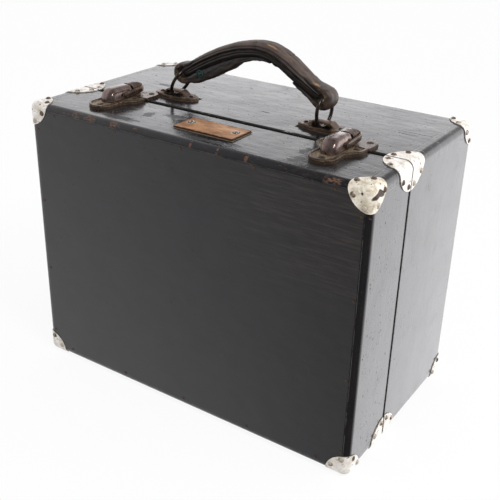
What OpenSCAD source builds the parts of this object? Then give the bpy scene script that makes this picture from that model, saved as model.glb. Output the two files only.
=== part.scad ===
// Deed box: a painted wooden case that stands upright and opens like a small suitcase.
// The origin is in the middle of the footprint, on the surface that the case stands on.
// X runs across the front, Y from front to back, and Z up.

/* [Case] */
// Width of the wooden case
case_w = 340; // [300:1:380]
// Depth of the closed case, front to back
case_d = 195; // [180:1:220]
// Height of the wooden case
case_h = 258; // [230:1:290]
// Depth of the lid, which is all that lies in front of the seam
lid_d = 65.5; // [60:0.5:72]
// Thickness of the boards
board_t = 10.7; // [10:0.1:12]
// Thickness of the front and back panels
panel_t = 6; // [5:0.5:8]
// How far the edge of a panel lies inside the edge of the case
panel_inset = 5.5; // [5:0.5:7]
// Radius of the outer edges of the case
edge_r = 6; // [5:0.5:7]
// Gap between lid and case
seam_gap = 1.2; // [1:0.1:2]
// Radius of the eased seam edges on the top and bottom
ease_top_r = 2.2; // [1.5:0.1:2.5]
// Radius of the eased seam edges on the sides
ease_side_r = 1.2; // [1:0.1:2]

/* [Box joints] */
// Fingers along each corner of the case
case_fingers = 9; // [5:2:13]
// Fingers along each corner of the lid
lid_fingers = 5; // [3:2:7]

/* [Metal caps] */
// Thickness of the sheet that the caps are pressed from
cap_t = 0.8; // [0.6:0.1:1.2]
// Reach of a corner cap from the corner
corner_cap_r = 20.5; // [19:0.5:24]
// Reach of a seam cap from the point where the seam crosses the edge
seam_cap_r = 22.5; // [22:0.5:26]
// Radius of a nail's head
nail_head_r = 2.4; // [2:0.1:2.6]
// Height of a nail's head
nail_head_h = 1.3; // [1:0.1:1.6]

/* [Catches] */
// Distance of the left catch from the middle of the case
left_catch_x = 110.5; // [100:0.5:125]
// Distance of the right catch from the middle of the case
right_catch_x = 112.5; // [100:0.5:125]
// Width of the lever and of the hook
lever_w = 15; // [14:0.5:17]
// Height of the lever and of the hook above the top board
lever_h = 13.5; // [13:0.5:15]
// Length of the catch base, from the seam to its front tip
base_len = 46.5; // [44:0.5:52]

/* [Handle] */
// Distance of each handle plate from the middle of the case
plate_x = 77; // [76:0.5:78]
// Radius of a ring, to the middle of its wire
ring_r = 13; // [12.5:0.1:13.5]
// Radius of the ring's wire
wire_r = 1.5; // [1.3:0.1:1.6]
// Lean of the left ring
ring_lean = 24; // [15:1:26]
// Half width of the leather grip, front to back
grip_half_w = 10; // [9:0.5:12]
// Half thickness of the leather grip
grip_half_t = 6.2; // [5.5:0.1:7]

/* [Name plate] */
// Length of the blank plate
name_w = 59; // [50:1:66]
// Width of the blank plate
name_d = 27.5; // [24:0.5:32]
// Thickness of the blank plate
name_t = 1.6; // [0.6:0.1:2]

/* [Hinges] */
// Distance of each hinge from the middle of the case
hinge_x = 95; // [80:1:110]
// Length of a hinge
hinge_len = 50; // [40:5:60]
// Radius of a hinge barrel
barrel_r = 2; // [1.8:0.1:2]

/* [Hidden] */
$fn = 48;
eps = 0.01;

// The case stands on the nail heads under its bottom caps
foot_h = cap_t + nail_head_h;
top_z = foot_h + case_h;
seam_y = -case_d / 2 + lid_d;
LEFT = -1;
RIGHT = 1;
LID = -1;
CASE = 1;

// Nails: shank, flat crown, and places on the caps as distances from the corner
nail_shank_r = 0.8;
nail_shank_len = 5.5;
nail_crown = 0.12;
corner_nails = [[16.5, 6], [8, 15.5]];
seam_nails = [[5, 18.2], [16.5, 11.2]];
seam_foot_nails = [[8, 17.5], [16.5, 9]];
seam_cap_gap = 0.8;
seam_foot_gap = 1.6;

// Panel pins
pin_in = 8;
pin_head_r = 1.2;
pin_shank_r = 0.6;
pin_len = 16;
pins_across = [-140, -70, 0, 70, 140];
pins_up = [24, 94, 165, 234];

// Catch, measured from the seam and the top board
sheet_t = 1.2;
base_t = 2.4;
rim_h = 3.4;
rim_w = 1.8;
lever_front = -32.3;
lever_rear = -3.5;
lever_low = 2.8;
lever_nose_r = lever_h - lever_low;
lever_plan_r = 8.7;
lever_arch_r = 11;
lever_hole = [-17, 7];
lever_hole_r = 1;
pivot_y = -8;
pivot_z = 9;
pivot_pin_r = 1.25;
running = 0.05;
pivot_ear_r = 2.4;
pivot_ear_x = 1.8;
heel_r = 6.1;
hook_sweep_r = 6.7;
hook_rear = 12.8;
hook_rear_r = 8;
hook_plan_r = 7.2;
hook_lip_z = 4;
rivet_y = -13;
rivet_z = 6.2;
rivet_r = 1.1;
rivet_head_r = 1.6;
loop_tilt = 4;
loop_h = 5.6;
loop_t = 2;
loop_in = lever_w / 2 + 0.4;
loop_len = 18.8;
base_screws = [[0, -38.5], [13.5, -6.3], [-13.5, -6.3]];
strike_screws_at = [[14.5, 15], [-14.5, 15]];
screw_head_r = 2.8;
screw_head_h = 0.8;
screw_dome_r = 7;
screw_shank_r = 1.2;
screw_len = 8;

// Handle, measured from the top board
handle_y = seam_y + 28.5;
ring_z = 15.5;
left_ring_x = -71.5;
right_ring_x = 77;
eye_r = 8;
eye_hole_r = 3.3;
eye_drop = 1.4;
eye_half_w = 7.8;
grip_end_w = 7.4;
plate_len = 47;
plate_half_w = 10;
plate_mid_h = 4;
plate_bow_r = 154;
plate_arch_r = 36;
plate_nail_x = 16.5;
bridge_half_w = 4.5;
bridge_in_x = 9.8;
bridge_in_top_x = 7.6;
bridge_in_low_z = 3;
bridge_in_z = 6.3;
bridge_foot_x = 14;
bridge_foot_z = 2.5;
bridge_top_x = 7.5;
bridge_top_z = 7.8;
bridge_arch_r = 14.8;
ring_room = 0.5;

// Route of the grip: X and height above the top board, half width, half thickness
grip_route = [
    [-67, 24, grip_end_w, 4.6], [-57, 30, grip_end_w, 5.2], [-43, 38, 9.4, 6],
    [-22, 48, grip_half_w, grip_half_t], [0, 54.5, grip_half_w, grip_half_t],
    [20, 56, grip_half_w, grip_half_t], [36, 51.5, grip_half_w, grip_half_t],
    [52, 42, 9.4, 6], [66, 33, grip_end_w, 5.4], [77, 26, grip_end_w, 4.8]
];
core_half_w = 5;
core_half_t = 1;
grip_steps = 3;

// Hinge, with its axis on the underside of the boards
hinge_z = foot_h;
leaf_t = 1.2;
leaf_h = 9.2;
pin_r = 1;
knuckles = 5;
knuckle_gap = 0.2;
barrel_room = 0.4;

wood_black = "#2b2a2b";
cap_cream = "#d9d3c4";
rust = "#6b5343";
patina = "#6f6258";
copper = "#8a6148";
steel = "#7c7a78";
leather = "#3a2c27";

// A block with every edge rounded
module rounded_block(size, r) {
    inner = [for (s = size) s - 2 * r];
    for (a = [0 : 2]) {
        full = [for (i = [0 : 2]) i == a ? size[i] : inner[i]];
        cube(full, center = true);
    }
    for (i = [-1, 1], j = [-1, 1]) {
        translate([i * inner[0] / 2, j * inner[1] / 2, 0])
            cylinder(r = r, h = inner[2], center = true);
        translate([i * inner[0] / 2, 0, j * inner[2] / 2])
            rotate([90, 0, 0]) cylinder(r = r, h = inner[1], center = true);
        translate([0, i * inner[1] / 2, j * inner[2] / 2])
            rotate([0, 90, 0]) cylinder(r = r, h = inner[0], center = true);
        for (k = [-1, 1])
            translate([i * inner[0] / 2, j * inner[1] / 2, k * inner[2] / 2]) sphere(r = r);
    }
}

module case_block() {
    translate([0, 0, foot_h + case_h / 2]) rounded_block([case_w, case_d, case_h], edge_r);
}

// A box between two corners
module span(low, high) {
    translate(low) cube(high - low);
}

function seam_edge(half) = seam_y + half * seam_gap / 2;
function outer_y(half) = half * case_d / 2;

// What easing takes off a long edge: the corner outside a quarter circle
module ease_profile(r) {
    difference() {
        translate([-eps, -eps]) square(r + eps);
        translate([r, r]) circle(r = r);
    }
}

// The eased seam edges of one half, round all four faces
module seam_easing(half) {
    for (up = [0, 1])
        translate([-case_w / 2, seam_edge(half), up ? top_z : foot_h])
            mirror([0, half == LID ? 1 : 0, 0]) mirror([0, 0, up])
                rotate([90, 0, 90]) linear_extrude(case_w) ease_profile(ease_top_r);
    for (side = [LEFT, RIGHT])
        translate([side * case_w / 2, seam_edge(half), foot_h])
            mirror([side == RIGHT ? 1 : 0, 0, 0]) mirror([0, half == LID ? 1 : 0, 0])
                linear_extrude(case_h) ease_profile(ease_side_r);
}

// The rebate that a panel lies in
module rebate(half) {
    depth = outer_y(half) - half * panel_t;
    far = outer_y(half) + half;
    span([-case_w / 2 + panel_inset, min(depth, far), foot_h + panel_inset],
         [case_w / 2 - panel_inset, max(depth, far), top_z - panel_inset]);
}

// The fingers of one corner that belong to the side board, every other one from the seam
module side_fingers(half, count) {
    near = seam_edge(half);
    pitch = abs(outer_y(half) - near) / count;
    for (i = [0 : 2 : count - 1]) {
        a = near + half * i * pitch;
        b = near + half * (i + 1) * pitch;
        grow = i == count - 1 ? 1 : 0;
        span([-case_w, min(a, b + half * grow), 0], [case_w, max(a, b + half * grow), top_z + 1]);
    }
}

module half_space(half) {
    span([-case_w, half == LID ? -case_d : seam_edge(CASE), 0],
         [case_w, half == LID ? seam_edge(LID) : case_d, top_z + 1]);
}

module corner_columns() {
    for (side = [LEFT, RIGHT])
        span([side == LEFT ? -case_w : case_w / 2 - board_t, -case_d, -1],
             [side == LEFT ? board_t - case_w / 2 : case_w, case_d, top_z + 2]);
}

// A top or bottom board, up = 1 or 0
module flat_board(half, count, up) {
    low = up ? top_z - board_t : foot_h - 1;
    difference() {
        intersection() {
            case_block();
            half_space(half);
            span([-case_w, -case_d, low], [case_w, case_d, low + board_t + 1]);
        }
        intersection() {
            corner_columns();
            side_fingers(half, count);
        }
        rebate(half);
        seam_easing(half);
        if (!up) hinge_room(half);
    }
}

// A left or right board, with its fingers at both ends: the left one is the right one mirrored
module side_board(half, count, side) {
    mirror([side == LEFT ? 1 : 0, 0, 0]) difference() {
        intersection() {
            case_block();
            half_space(half);
            span([case_w / 2 - board_t, -case_d, 0], [case_w, case_d, top_z + 1]);
            union() {
                side_fingers(half, count);
                span([-case_w, -case_d, foot_h + board_t], [case_w, case_d, top_z - board_t]);
            }
        }
        rebate(half);
        seam_easing(half);
    }
}

module panel(half) {
    inner = outer_y(half) - half * panel_t;
    intersection() {
        case_block();
        rebate(half);
        span([-case_w, min(inner, outer_y(half)), 0],
             [case_w, max(inner, outer_y(half)), top_z]);
    }
}

module panel_pin() {
    rotate([90, 0, 0]) {
        translate([0, 0, -0.2]) cylinder(r = pin_head_r, h = 0.5, $fn = 24);
        translate([0, 0, -pin_len]) cylinder(r = pin_shank_r, h = pin_len, $fn = 16);
    }
}

// Pins all round a panel, driven square to it
module panel_pins(half) {
    for (x = pins_across, z = [foot_h + pin_in, top_z - pin_in])
        translate([x, outer_y(half), z]) mirror([0, half == LID ? 0 : 1, 0]) panel_pin();
    for (z = pins_up, side = [LEFT, RIGHT])
        translate([side * (case_w / 2 - pin_in), outer_y(half), foot_h + z])
            mirror([0, half == LID ? 0 : 1, 0]) panel_pin();
}

// The rounded corner of the case with its point at the origin, grown outward
module corner_solid(grow, len) {
    full = len + grow;
    translate([-grow, edge_r, edge_r]) cube([full, len - edge_r, len - edge_r]);
    translate([edge_r, -grow, edge_r]) cube([len - edge_r, full, len - edge_r]);
    translate([edge_r, edge_r, -grow]) cube([len - edge_r, len - edge_r, full]);
    translate([edge_r, edge_r, edge_r]) {
        sphere(r = edge_r + grow);
        cylinder(r = edge_r + grow, h = len - edge_r);
        rotate([0, 90, 0]) cylinder(r = edge_r + grow, h = len - edge_r);
        rotate([-90, 0, 0]) cylinder(r = edge_r + grow, h = len - edge_r);
    }
}

// Moves a corner drawn at the origin to a corner of the case, up = 1 or 0
module at_corner(half, side, up) {
    translate([side * case_w / 2, outer_y(half), up ? top_z : foot_h])
        mirror([side == RIGHT ? 1 : 0, 0, 0])
            mirror([0, half == CASE ? 1 : 0, 0])
                mirror([0, 0, up]) children();
}

module corner_cap(half, side, up) {
    color(cap_cream) at_corner(half, side, up)
        intersection() {
            difference() {
                corner_solid(cap_t, corner_cap_r + 3);
                corner_solid(0, corner_cap_r + 4);
            }
            sphere(r = corner_cap_r, $fn = 64);
        }
}

// The rounded long edge of the case seen along it, grown outward
module edge_profile(grow, len) {
    translate([-grow, edge_r]) square([len + grow, len - edge_r]);
    translate([edge_r, -grow]) square([len - edge_r, len + grow]);
    translate([edge_r, edge_r]) circle(r = edge_r + grow);
}

// Moves what is drawn at the origin to where the seam crosses a long edge
module at_seam(half, side, up) {
    translate([side * case_w / 2, seam_y, up ? top_z : foot_h])
        mirror([side == RIGHT ? 1 : 0, 0, 0])
            mirror([0, half == LID ? 1 : 0, 0])
                mirror([0, 0, up]) children();
}

module seam_cap(half, side, up) {
    gap = up ? seam_cap_gap : seam_foot_gap;
    reach = seam_cap_r + 3;
    color(cap_cream) at_seam(half, side, up)
        intersection() {
            translate([0, gap, 0]) rotate([-90, 0, 0]) mirror([0, 1, 0])
                linear_extrude(reach) difference() {
                    edge_profile(cap_t, reach);
                    edge_profile(0, reach + 1);
                }
            sphere(r = seam_cap_r, $fn = 64);
        }
}

// A round-headed nail that points down, with the underside of its head at the origin
module nail(shank = nail_shank_len) {
    dome_h = nail_head_h + nail_crown;
    dome_r = (pow(nail_head_r, 2) + pow(dome_h, 2)) / (2 * dome_h);
    intersection() {
        translate([0, 0, dome_h - dome_r]) sphere(r = dome_r, $fn = 32);
        cylinder(r = nail_head_r, h = nail_head_h, $fn = 32);
    }
    translate([0, 0, -shank]) cylinder(r = nail_shank_r, h = shank + eps, $fn = 16);
}

// The two nails on one face of a cap, which lies in the XY plane and faces down
module face_nails(places) {
    for (p = places)
        translate([p[0], p[1], -cap_t]) mirror([0, 0, 1]) nail();
}

// Turns a face from the XY plane to the YZ plane (1) or the ZX plane (2), keeping the corner
module cycle_face(k) {
    if (k == 0) children();
    if (k == 1) rotate([90, 0, 90]) children();
    if (k == 2) rotate([0, -90, -90]) children();
}

// The nails of one half's caps: those under the bottom are its feet
module cap_nails(half) {
    for (side = [LEFT, RIGHT], up = [0, 1]) {
        at_corner(half, side, up)
            for (k = [(up ? 0 : 1) : 2]) cycle_face(k) face_nails(corner_nails);
        at_seam(half, side, up) {
            if (up) face_nails([for (p = seam_nails) [p[1], p[0]]]);
            cycle_face(1) face_nails(seam_nails);
        }
    }
}

module foot_nails(half) {
    for (side = [LEFT, RIGHT]) {
        at_corner(half, side, 0) face_nails(corner_nails);
        at_seam(half, side, 0) face_nails([for (p = seam_foot_nails) [p[1], p[0]]]);
    }
}

// A slotted screw with a low head that points down
module screw(turn = 0) {
    difference() {
        intersection() {
            translate([0, 0, screw_head_h - screw_dome_r]) sphere(r = screw_dome_r, $fn = 64);
            cylinder(r = screw_head_r, h = screw_head_h, $fn = 32);
        }
        rotate([0, 0, turn]) translate([0, 0, screw_head_h]) cube([7, 0.7, 1], center = true);
    }
    translate([0, 0, -screw_len]) cylinder(r = screw_shank_r, h = screw_len + eps, $fn = 16);
}

module at_catch(side) {
    translate([side == LEFT ? -left_catch_x : right_catch_x, seam_y, top_z]) children();
}

// Outline of the catch base: a front lobe round its screw and two rear lobes, with a slight waist
module base_outline(inset) {
    front_r = 11.5;
    rear_r = 8;
    rear = [12.5, -8.5];
    side = [front_r - inset, front_r - base_len];
    waist = [front_r - 0.1 - inset, -22.5 + 0.37 * inset];
    shoulder = rear + (rear_r - inset) * [cos(45), -sin(45)];
    back = [rear[0] + rear_r - inset, -seam_cap_gap - inset];
    right = [side, waist, shoulder, [back[0], rear[1]], back];
    translate([0, side[1]]) circle(r = front_r - inset);
    for (s = [-1, 1]) translate([s * rear[0], rear[1]]) circle(r = rear_r - inset);
    polygon(concat(right, [for (i = [len(right) - 1 : -1 : 0]) [-right[i][0], right[i][1]]]));
}

module catch_base() {
    difference() {
        union() {
            linear_extrude(base_t) base_outline(0);
            linear_extrude(rim_h) difference() {
                base_outline(0);
                base_outline(rim_w);
            }
            for (s = [-1, 1]) translate([s * (pivot_ear_x + sheet_t / 2), pivot_y, 0]) {
                translate([0, 0, pivot_z / 2]) cube([sheet_t, 2 * pivot_ear_r, pivot_z], center = true);
                translate([0, 0, pivot_z]) rotate([0, 90, 0])
                    cylinder(r = pivot_ear_r, h = sheet_t, center = true);
            }
        }
        translate([0, pivot_y, pivot_z]) rotate([0, 90, 0])
            cylinder(r = pivot_pin_r, h = lever_w, center = true);
    }
}

// Cross-section that the lever and the hook share: upright sides and an arched top
module dome_section(inset) {
    half = lever_w / 2 - inset;
    intersection() {
        translate([-half, -1]) square([2 * half, lever_h + 1]);
        translate([0, lever_h - lever_arch_r]) circle(r = lever_arch_r - inset, $fn = 96);
    }
}

module along_y(from, to) {
    translate([0, to, 0]) rotate([90, 0, 0]) linear_extrude(to - from) children();
}

module along_x(half) {
    translate([-half, 0, 0]) rotate([90, 0, 90]) linear_extrude(2 * half) children();
}

// Outside of the lever, or its hollow when inset is the sheet's thickness
module lever_form(inset) {
    rear = lever_rear + (inset > 0 ? 1 : 0);
    nose = lever_plan_r - inset;
    nose_y = lever_front + lever_plan_r;
    low = inset > 0 ? 0 : lever_low;
    intersection() {
        along_y(lever_front - 1, rear) dome_section(inset);
        along_x(lever_w) {
            intersection() {
                translate([lever_front + lever_nose_r, lever_low]) circle(r = lever_nose_r - inset);
                translate([lever_front, lever_low]) square([lever_nose_r, lever_nose_r]);
            }
            translate([lever_front + lever_nose_r - eps, lever_low])
                square([rear - lever_front - lever_nose_r + eps, lever_nose_r - inset]);
            if (inset > 0)
                translate([lever_front + inset, low]) square([rear - lever_front - inset, lever_low - low + eps]);
        }
        linear_extrude(lever_h + 1) {
            translate([0, nose_y]) circle(r = nose);
            translate([-nose, nose_y]) square([2 * nose, rear - nose_y]);
        }
    }
}

// Where a pin across the catch is drilled
module cross_bore(y, z, r) {
    translate([0, y, z]) rotate([0, 90, 0]) cylinder(r = r, h = 2 * lever_w, center = true);
}

module lever() {
    difference() {
        lever_form(0);
        lever_form(sheet_t);
        cross_bore(pivot_y, pivot_z, pivot_pin_r + running);
        cross_bore(rivet_y, rivet_z, rivet_r);
        cross_bore(lever_hole[0], lever_hole[1], lever_hole_r);
        // The heel is rounded about the pivot so that it clears the base as the lever rises
        along_x(lever_w) difference() {
            translate([pivot_y, 0]) square([heel_r + 2, pivot_z - 2]);
            translate([pivot_y, pivot_z]) circle(r = heel_r);
        }
    }
}

module loop_rivets() {
    for (s = [-1, 1]) translate([0, rivet_y, rivet_z]) rotate([0, s * 90, 0]) {
        translate([0, 0, lever_w / 2 - sheet_t]) cylinder(r = rivet_r, h = loop_t + sheet_t + 0.5);
        translate([0, 0, loop_in + loop_t + running]) cylinder(r = rivet_head_r, h = 0.5);
    }
}

// A flat strap bent to a U, drawn about its rivets and then tilted up to the hook
module loop() {
    outer = loop_in + loop_t;
    translate([0, rivet_y, rivet_z]) rotate([loop_tilt, 0, 0]) difference() {
        union() {
            translate([0, 0, -loop_h / 2]) linear_extrude(loop_h) difference() {
                union() {
                    translate([0, loop_len]) circle(r = outer);
                    translate([-outer, 0]) square([2 * outer, loop_len]);
                }
                translate([0, loop_len]) circle(r = loop_in);
                translate([-loop_in, -1]) square([2 * loop_in, loop_len + 1]);
            }
            for (s = [-1, 1]) translate([s * (loop_in + loop_t / 2), 0, 0]) rotate([0, 90, 0])
                cylinder(r = loop_h / 2, h = loop_t, center = true);
        }
        rotate([0, 90, 0]) cylinder(r = rivet_r + running, h = 3 * lever_w, center = true);
    }
}

// Outside of the hook, or its hollow
module hook_form(inset) {
    rear = hook_rear - inset;
    r = hook_rear_r - inset;
    nose = hook_plan_r - inset;
    intersection() {
        along_y(lever_rear - 1, hook_rear + 1) dome_section(inset);
        along_x(lever_w) {
            translate([lever_rear - 1, -1]) square([rear - r - lever_rear + 1, lever_h - inset + 1]);
            translate([lever_rear - 1, -1]) square([rear - lever_rear + 1, lever_h - inset - r + 1]);
            translate([rear - r, lever_h - inset - r]) circle(r = r);
        }
        linear_extrude(lever_h + 1) {
            translate([0, hook_rear - hook_plan_r]) circle(r = nose);
            translate([-nose, lever_rear - 1]) square([2 * nose, hook_rear - hook_plan_r - lever_rear + 1]);
        }
    }
}

module strike_outline() {
    lobe = [13.7, 14.6];
    lobe_r = 7.2;
    right = [[20.5, seam_cap_gap], [lobe[0] + lobe_r, 8], [lobe[0] + lobe_r, lobe[1]],
             [lobe[0], lobe[1] + lobe_r], [5, 19]];
    for (s = [-1, 1]) translate([s * lobe[0], lobe[1]]) circle(r = lobe_r);
    polygon(concat(right, [for (i = [len(right) - 1 : -1 : 0]) [-right[i][0], right[i][1]]]));
}

module strike() {
    linear_extrude(base_t) strike_outline();
    difference() {
        hook_form(0);
        hook_form(sheet_t);
        // The front of the hook is cut to the path of the lever's heel
        translate([0, pivot_y, pivot_z]) rotate([0, 90, 0])
            cylinder(r = hook_sweep_r, h = 2 * lever_w, center = true);
        span([-lever_w, lever_rear - 2, -1], [lever_w, seam_cap_gap, hook_lip_z]);
        span([-lever_w, lever_rear - 2, -1], [lever_w, pivot_y + hook_sweep_r, pivot_z]);
    }
}

module at_handle() {
    translate([0, handle_y, top_z]) children();
}

function plate_place(side) = side * plate_x;

// Outline of a handle plate: a leaf whose ends are rounded
module plate_outline() {
    half = plate_len / 2;
    bow = (pow(half + 4, 2) + pow(plate_half_w, 2)) / (2 * plate_half_w);
    low = bow - plate_half_w;
    end_r = (pow(bow, 2) - pow(low, 2) - pow(half, 2)) / (2 * (bow - half));
    cut = bow * (half - end_r) / (bow - end_r);
    intersection() {
        translate([0, low]) circle(r = bow, $fn = 96);
        translate([0, -low]) circle(r = bow, $fn = 96);
        square([2 * cut, 2 * plate_half_w], center = true);
    }
    for (s = [-1, 1]) translate([s * (half - end_r), 0]) circle(r = end_r);
}

// Height of a handle plate's top at a distance from its middle
function plate_top(x) = plate_mid_h - plate_bow_r + sqrt(pow(plate_bow_r, 2) - pow(x, 2));

// A domed leaf with a bridge, under which the ring passes in a trough
module handle_plate(side) {
    color(patina) at_handle() translate([plate_place(side), 0, 0]) {
        difference() {
            intersection() {
                linear_extrude(plate_mid_h + 1) plate_outline();
                translate([0, 0, plate_mid_h - plate_bow_r]) rotate([90, 0, 0])
                    cylinder(r = plate_bow_r, h = 3 * plate_half_w, center = true, $fn = 360);
                translate([0, 0, plate_mid_h - plate_arch_r]) rotate([0, 90, 0])
                    cylinder(r = plate_arch_r, h = plate_len + 2, center = true, $fn = 120);
            }
            span([-bridge_in_x, -bridge_half_w - ring_room, -1],
                 [bridge_in_x, bridge_half_w + ring_room, plate_mid_h + 1]);
            translate([0, 0, ring_z]) rotate([0, 90, 0])
                cylinder(r = ring_r + wire_r + ring_room, h = 2 * bridge_in_x, center = true);
        }
        intersection() {
            along_y(-bridge_half_w, bridge_half_w) bridge_profile();
            translate([0, 0, bridge_top_z - bridge_arch_r]) rotate([0, 90, 0])
                cylinder(r = bridge_arch_r, h = 3 * bridge_foot_x, center = true);
        }
    }
}

module hump(floor, foot, top) {
    polygon([[-foot[0], floor], [foot[0], floor], foot, top, [-top[0], top[1]], [-foot[0], foot[1]]]);
}

// The bridge seen from the front: its outside less the tunnel
module bridge_profile() {
    difference() {
        hump(0, [bridge_foot_x, bridge_foot_z], [bridge_top_x, bridge_top_z]);
        hump(-eps, [bridge_in_x, bridge_in_low_z], [bridge_in_top_x, bridge_in_z]);
    }
}

module ring(side) {
    lean = side == LEFT ? ring_lean : 0;
    x = side == LEFT ? left_ring_x : right_ring_x;
    color(steel) at_handle() translate([x, 0, ring_z]) rotate([0, lean, 0]) rotate([0, 90, 0])
        rotate_extrude($fn = 96) translate([ring_r, 0]) circle(r = wire_r, $fn = 24);
}

// A smooth curve through the route's points
function blend(a, b, c, d, t) =
    0.5 * ((2 * b) + (c - a) * t + (2 * a - 5 * b + 4 * c - d) * t * t + (3 * b - a - 3 * c + d) * t * t * t);

function smooth(route, steps) =
    let (last = len(route) - 1)
    [for (i = [0 : last - 1], k = [0 : steps - (i == last - 1 ? 0 : 1)])
        blend(route[max(i - 1, 0)], route[i], route[i + 1], route[min(i + 2, last)], k / steps)];

// A closed sleeve of elliptical sections along a curve in the XZ plane
module sleeve(curve, sides) {
    last = len(curve) - 1;
    points = [for (i = [0 : last])
        let (a = curve[max(i - 1, 0)], b = curve[min(i + 1, last)],
             turn = atan2(b[1] - a[1], b[0] - a[0]), p = curve[i])
        for (k = [0 : sides - 1])
            let (w = p[2] * cos(360 * k / sides), t = p[3] * sin(360 * k / sides))
            [p[0] - t * sin(turn), w, p[1] + t * cos(turn)]];
    walls = [for (i = [0 : last - 1], k = [0 : sides - 1])
        let (a = i * sides + k, b = i * sides + (k + 1) % sides) [a, a + sides, b + sides, b]];
    ends = [[for (k = [0 : sides - 1]) k], [for (k = [sides - 1 : -1 : 0]) last * sides + k]];
    polyhedron(points, concat(walls, ends), convexity = 6);
}

// The hole of an eye, just below the top of its ring
function eye_place(side) =
    side == LEFT
    ? [left_ring_x + (ring_r - eye_drop) * sin(ring_lean), ring_z + (ring_r - eye_drop) * cos(ring_lean)]
    : [right_ring_x, ring_z + ring_r - eye_drop];

// The core runs through the leather from one eye to the other
core_route = [for (i = [0 : len(grip_route) - 1])
    i == 0 ? concat(eye_place(LEFT), [core_half_w, core_half_t])
    : i == len(grip_route) - 1 ? concat(eye_place(RIGHT), [core_half_w, core_half_t])
    : [grip_route[i][0], grip_route[i][1], core_half_w, core_half_t]];

module eyes(r, half) {
    for (side = [LEFT, RIGHT])
        translate([eye_place(side)[0], 0, eye_place(side)[1]])
            rotate([90, 0, 0]) cylinder(r = r, h = 2 * half, center = true);
}

module grip() {
    color(leather) at_handle() difference() {
        union() {
            sleeve(smooth(grip_route, grip_steps), 16);
            for (side = [LEFT, RIGHT])
                translate([eye_place(side)[0] + side * 1.2, 0, eye_place(side)[1] - 1.2])
                    rotate([90, 0, 0]) cylinder(r = eye_r, h = 2 * eye_half_w, center = true);
        }
        eyes(eye_hole_r, 2 * eye_half_w);
        sleeve(smooth(core_route, 2), 8);
    }
}

module core() {
    color(steel) at_handle() difference() {
        sleeve(smooth(core_route, 2), 8);
        eyes(eye_hole_r, 2 * eye_half_w);
    }
}

module name_place() {
    translate([5.5, seam_y - 30, top_z]) children();
}

module at_hinge(side) {
    translate([side * hinge_x, seam_y, hinge_z]) children();
}

// The stretches of the barrel that belong to one leaf, as distances from the hinge's middle
function knuckle_starts(half) =
    [for (i = [(half == CASE ? 0 : 1) : 2 : knuckles - 1]) hinge_len * (i / knuckles - 0.5)];

module barrel_pieces(half, r, trim) {
    for (x = knuckle_starts(half))
        translate([x + trim, 0, 0]) rotate([0, 90, 0])
            cylinder(r = r, h = hinge_len / knuckles - 2 * trim);
}

module hinge_leaf(half) {
    near = half * seam_gap / 2;
    far = near + half * leaf_t;
    difference() {
        union() {
            difference() {
                span([-hinge_len / 2, min(near, far), 0], [hinge_len / 2, max(near, far), leaf_h]);
                barrel_pieces(-half, barrel_r + barrel_room / 2, -knuckle_gap / 2);
            }
            barrel_pieces(half, barrel_r, knuckle_gap / 2);
        }
        rotate([0, 90, 0])
            cylinder(r = pin_r + (half == LID ? running : 0), h = hinge_len + 2, center = true, $fn = 32);
    }
}

// The mortise and the room for the barrel in a bottom board
module hinge_room(half) {
    near = half * seam_gap / 2;
    far = near + half * leaf_t;
    for (side = [LEFT, RIGHT]) at_hinge(side) {
        span([-hinge_len / 2, min(near - half, far), -1], [hinge_len / 2, max(near - half, far), leaf_h]);
        rotate([0, 90, 0]) cylinder(r = barrel_r + barrel_room, h = hinge_len + 0.6, center = true);
    }
}

module hinge_screws(half) {
    for (side = [LEFT, RIGHT], x = [-18, 0, 18])
        at_hinge(side) translate([x, half * seam_gap / 2, 5.6]) rotate([-half * 90, 0, 0]) {
            cylinder(r = 2, h = 1, $fn = 24);
            cylinder(r = 1, h = 10, $fn = 16);
        }
}

color(wood_black) flat_board(CASE, case_fingers, 1);  // case_top_board
color(wood_black) flat_board(CASE, case_fingers, 0);  // case_bottom_board
color(wood_black) side_board(CASE, case_fingers, LEFT);  // case_left_board
color(wood_black) side_board(CASE, case_fingers, RIGHT);  // case_right_board
color(wood_black) panel(CASE);  // back_panel
color(rust) panel_pins(CASE);  // back_panel_pins
corner_cap(CASE, LEFT, 1);  // case_corner_cap_top_left
corner_cap(CASE, RIGHT, 1);  // case_corner_cap_top_right
corner_cap(CASE, LEFT, 0);  // case_corner_cap_bottom_left
corner_cap(CASE, RIGHT, 0);  // case_corner_cap_bottom_right
seam_cap(CASE, LEFT, 1);  // case_seam_cap_top_left
seam_cap(CASE, RIGHT, 1);  // case_seam_cap_top_right
seam_cap(CASE, LEFT, 0);  // case_seam_cap_bottom_left
seam_cap(CASE, RIGHT, 0);  // case_seam_cap_bottom_right
color(rust) cap_nails(CASE);  // case_cap_nails
color(rust) foot_nails(CASE);  // case_foot_nails
color(patina) at_catch(LEFT) strike();  // left_strike
color(patina) at_catch(RIGHT) strike();  // right_strike
color(steel)  // strike_screws
    for (side = [LEFT, RIGHT], p = strike_screws_at)
        at_catch(side) translate([p[0], p[1], base_t]) screw(p[0] * 3);
handle_plate(LEFT);  // left_handle_plate
handle_plate(RIGHT);  // right_handle_plate
color(steel)  // handle_plate_nails
    for (side = [LEFT, RIGHT], s = [-1, 1])
        at_handle() translate([plate_place(side) + s * plate_nail_x, 0, plate_top(plate_nail_x) - 0.1]) nail(8);
color(steel)  // hinge_case_leaves
    for (side = [LEFT, RIGHT]) at_hinge(side) hinge_leaf(CASE);
color(steel)  // hinge_pins
    for (side = [LEFT, RIGHT]) at_hinge(side) rotate([0, 90, 0])
        cylinder(r = pin_r, h = hinge_len, center = true, $fn = 32);
color(steel) hinge_screws(CASE);  // hinge_case_screws
color(wood_black) flat_board(LID, lid_fingers, 1);  // lid_top_board
color(wood_black) flat_board(LID, lid_fingers, 0);  // lid_bottom_board
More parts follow.
